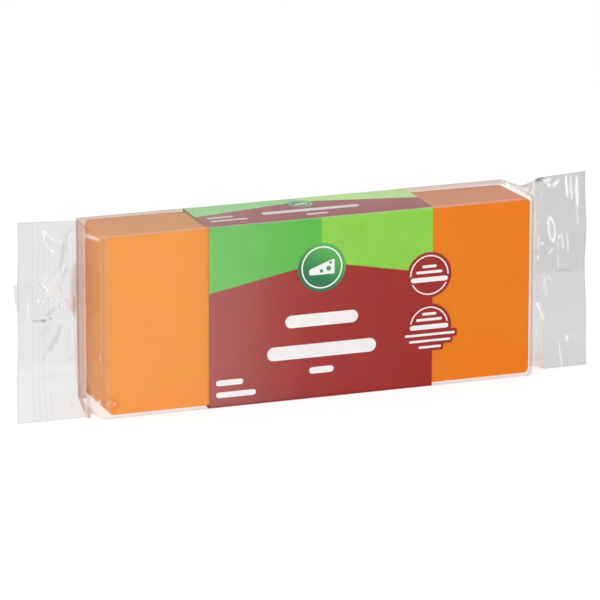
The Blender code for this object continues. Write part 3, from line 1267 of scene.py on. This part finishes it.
# Plain white bars: length, height, and where their middle is, in mm
FRONT_BARS = [
    (25.0, 4.2, 0.4, 26.6),
    (37.5, 4.6, 0.4, 16.3),
    (8.4, 2.2, 0.3, 9.6),
    (9.3, 1.9, -31.2, 8.4),
    (13.6, 1.9, -29.0, 4.4),
]
TOP_BARS = [
    (33.5, 3.0, 0.4, -2.6),
    (7.6, 1.6, 0.8, -8.0),
    (9.0, 1.5, -30.6, -2.4),
    (12.6, 1.5, -28.8, -6.4),
]

# The badges: height of the middle, then each bar's height above it, length and height
BADGE_RADIUS = 7.7 * MM
BADGE_X = 37.6
BADGES = [
    (37.9, ((2.9, 5.0, 0.9), (1.0, 9.0, 0.9), (-1.5, 12.8, 1.6))),
    (20.5, ((4.3, 5.0, 0.9), (2.4, 9.0, 0.9), (-0.1, 13.4, 1.6))),
]

# The bars below the lower badge
SKIRT_X = 37.9
SKIRT_BARS = ((17.8, 17.4, 0.8), (15.7, 14.4, 0.8), (13.6, 7.8, 0.8))


def lay_bars(lay, bars):
    return [lay(flat_bar(length * MM, height * MM, "white"), x, up, 1) for length, height, x, up in bars]


def grounded_bars(x, z, bars, margins, rounding):
    """White bars on burgundy grounds that are larger by the margins; each ground covers the one before."""
    shapes = []
    for step, (up, length, height) in enumerate(bars):
        ground = flat_bar((length + margins[0]) * MM, (height + margins[1]) * MM, "burgundy", rounding)
        shapes.append(lay_on_front(ground, x, z + up, 3 + step / 3))
        shapes.append(lay_on_front(flat_bar(length * MM, height * MM, "white"), x, z + up, 5))
    return shapes


def badge(x, z, bars):
    """A round burgundy badge with a white ring, which plain bars on burgundy grounds cross."""
    shapes = [
        lay_on_front(flat_disc(BADGE_RADIUS, "burgundy"), x, z, 1),
        lay_on_front(flat_ring(BADGE_RADIUS * 0.87, 0.42 * MM, "white"), x, z, 2),
    ]
    return shapes + grounded_bars(x, z, bars, (1.4, 1.2), 0.3)


def make_front_print():
    shapes = emblem(lay_on_front, "emblem", 0.45, 43.9, 8.2) + lay_bars(lay_on_front, FRONT_BARS)
    for z, bars in BADGES:
        shapes += badge(BADGE_X, z, bars)
    shapes += grounded_bars(SKIRT_X, 0, SKIRT_BARS, (1.6, 1.9), 0.25)
    return join("front_print", shapes)


def make_top_print():
    shapes = emblem(lay_on_top, "top_emblem", -0.3, 5.3, 4.3) + lay_bars(lay_on_top, TOP_BARS)
    return join("top_print", shapes)


# The table, the lights and the camera

def table_shader(tree, grey, glow):
    return add_node(tree, "ShaderNodeBsdfPrincipled", {
        "Base Color": (grey, grey, grey, 1), "Roughness": 0.6, "Specular IOR Level": 0.1,
        "Emission Color": (1, 1, 1, 1), "Emission Strength": glow,
    })


def make_floor():
    """A white table: what the eye sees is mostly its own glow, so that shadows on it stay faint."""
    deselect()
    bpy.ops.mesh.primitive_plane_add(size=8.0, location=(0, 0, 0))
    floor = name_piece(bpy.context.object, "floor")
    material, tree = new_material("white_table")
    to_eye = add_node(tree, "ShaderNodeLightPath").outputs["Is Camera Ray"]
    lit, seen = table_shader(tree, 0.9, TABLE_GLOW), table_shader(tree, 0.27, TABLE_SEEN)
    show(tree, mix_shaders(tree, to_eye, lit, seen))
    floor.data.materials.append(material)
    floor.visible_glossy = False


def background(tree, grey=1.0, strength=1.0):
    return add_node(tree, "ShaderNodeBackground", {"Color": (grey, grey, grey, 1), "Strength": strength})


def make_world():
    """White to the eye; as light, a grey dome; in reflections, dark in front and pale behind."""
    world = bpy.data.worlds.new("studio")
    bpy.context.scene.world = world
    world.use_nodes = True
    tree = world.node_tree
    tree.nodes.clear()
    direction = axes(tree, add_node(tree, "ShaderNodeTexCoord").outputs["Generated"])
    behind = smooth_step(tree, direction["Y"], *BEHIND)
    leftward = smooth_step(tree, direction["X"], *LEFTWARD)
    back_wall = math_node(tree, "MULTIPLY", behind, MIRRORED_BACK)
    side_wall = math_node(tree, "MULTIPLY_ADD", leftward, MIRRORED_LEFT, MIRRORED_LOW)
    mirrored = background(tree, 1.0, math_node(tree, "ADD", back_wall, side_wall))
    path = add_node(tree, "ShaderNodeLightPath").outputs
    light = mix_shaders(tree, path["Is Glossy Ray"], background(tree, DOME_LIGHT), mirrored)
    seen = mix_shaders(tree, path["Is Camera Ray"], light, background(tree))
    show(tree, seen, "World")


def direction_from(azimuth, elevation):
    """The unit vector to a lamp: azimuth 0 in front of the pack, positive to its right."""
    a, e = math.radians(azimuth), math.radians(elevation)
    return Vector((math.sin(a) * math.cos(e), -math.cos(a) * math.cos(e), math.sin(e)))


def aim(name, data, away, distance, target):
    """Adds a lamp or a camera that looks at a place from a direction."""
    eye = bpy.data.objects.new(name, data)
    bpy.context.scene.collection.objects.link(eye)
    eye.location = target + away * distance
    eye.rotation_euler = away.to_track_quat("Z", "Y").to_euler()
    return eye


def add_softbox(name, azimuth, elevation, distance, size, glow, mirrored=False):
    """A rectangular lamp that the camera doesn't see; it lights the pack or only shows in reflections."""
    data = bpy.data.lights.new(name, "AREA")
    data.shape = "RECTANGLE"
    data.size, data.size_y = size
    data.energy = glow * size[0] * size[1] * math.pi
    lamp = aim(name, data, direction_from(azimuth, elevation), distance, Vector((0, 0, MID_HEIGHT)))
    lamp.visible_camera = False
    lamp.visible_glossy = mirrored
    lamp.visible_diffuse = not mirrored


def make_sheen_card():
    """A pale card below the table's level, mirrored by the left half of the front and by the left fin."""
    away = direction_from(math.degrees(CAMERA_YAW), -math.degrees(CAMERA_PITCH))
    turn = away.to_track_quat("Z", "Y")
    deselect()
    bpy.ops.mesh.primitive_plane_add(size=1)
    card = name_piece(bpy.context.object, "sheen_card")
    card.scale = (CARD_WIDTH, CARD_HEIGHT, 1)
    apply_place()
    card.rotation_euler = turn.to_euler()
    shift = turn @ Vector((CARD_SHIFT - CARD_WIDTH / 2, 0, 0))
    card.location = away * CARD_REACH + Vector((0, 0, MID_HEIGHT)) + shift
    material, tree = new_material("sheen_card")
    rightward = axes(tree, add_node(tree, "ShaderNodeTexCoord").outputs["Object"])["X"]
    fade = add_node(tree, "ShaderNodeMapRange", {
        "Value": rightward, "From Min": CARD_WIDTH / 2 - CARD_FADE, "From Max": CARD_WIDTH / 2,
        "To Min": CARD_GLOW, "To Max": 0.0,
    })
    glow = add_node(tree, "ShaderNodeEmission", {"Strength": fade.outputs["Result"]})
    show(tree, glow)
    card.data.materials.append(material)
    card.visible_camera = False
    card.visible_diffuse = False
    card.visible_shadow = False


def make_lights():
    """Two upright strips that light the pack, the same again for its glints, a fill, and a softbox above."""
    for kind, glow in (("strip", STRIP_GLOW), ("glint", GLINT_GLOW)):
        for side, azimuth, width in (("right", 48, 0.15), ("left", -8, 0.10)):
            add_softbox(f"{side}_{kind}", azimuth, 6, 0.8, (width, 0.6), glow, mirrored=kind == "glint")
    add_softbox("left_fill", -75, 20, 0.9, (0.4, 0.4), 2.7)
    add_softbox("top_softbox", -20, 72, 1.1, (0.8, 0.5), 2.1)
    make_sheen_card()


def make_camera():
    data = bpy.data.cameras.new("camera")
    data.sensor_width = SENSOR_WIDTH
    data.lens = FOCAL_PIXELS / PICTURE_SIDE * SENSOR_WIDTH
    data.clip_start = 0.05
    data.clip_end = 50.0
    back = direction_from(-math.degrees(CAMERA_YAW), math.degrees(CAMERA_PITCH))
    bpy.context.scene.camera = aim("camera", data, back, CAMERA_DISTANCE, CAMERA_TARGET)


def set_colours():
    """Plain display colours, so that the inks and the cheese come out as they are."""
    scene = bpy.context.scene
    scene.view_settings.view_transform = "Standard"
    scene.view_settings.look = "None"
    scene.cycles.transparent_max_bounces = 24
    scene.cycles.max_bounces = 10
    scene.cycles.caustics_reflective = False
    scene.cycles.caustics_refractive = False


cheese = make_cheese()
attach(cheese, "root")

film = make_film()
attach(film, "root")
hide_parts("wrapped_block")

seam_film = film_material("seam_film", SEAM_MIRROR)
left_seam = make_seam("left_seam", -FIN_EDGE, BAND_LEFT, SEAM_END_COLUMNS, seam_film)
right_seam = make_seam("right_seam", BAND_RIGHT, FIN_EDGE, SEAM_END_COLUMNS, seam_film)
back_seam = join("back_seam", [left_seam, right_seam])
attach(back_seam, "root")

band = make_band()
seam_ink = inks["seam_burgundy"]
printed_seam = make_seam("printed_seam", BAND_LEFT, BAND_RIGHT, SEAM_BAND_COLUMNS, seam_ink)
for piece in (band, printed_seam, make_front_print(), make_top_print()):
    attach(piece, "root")

make_floor()
make_world()
make_lights()
make_camera()
set_colours()
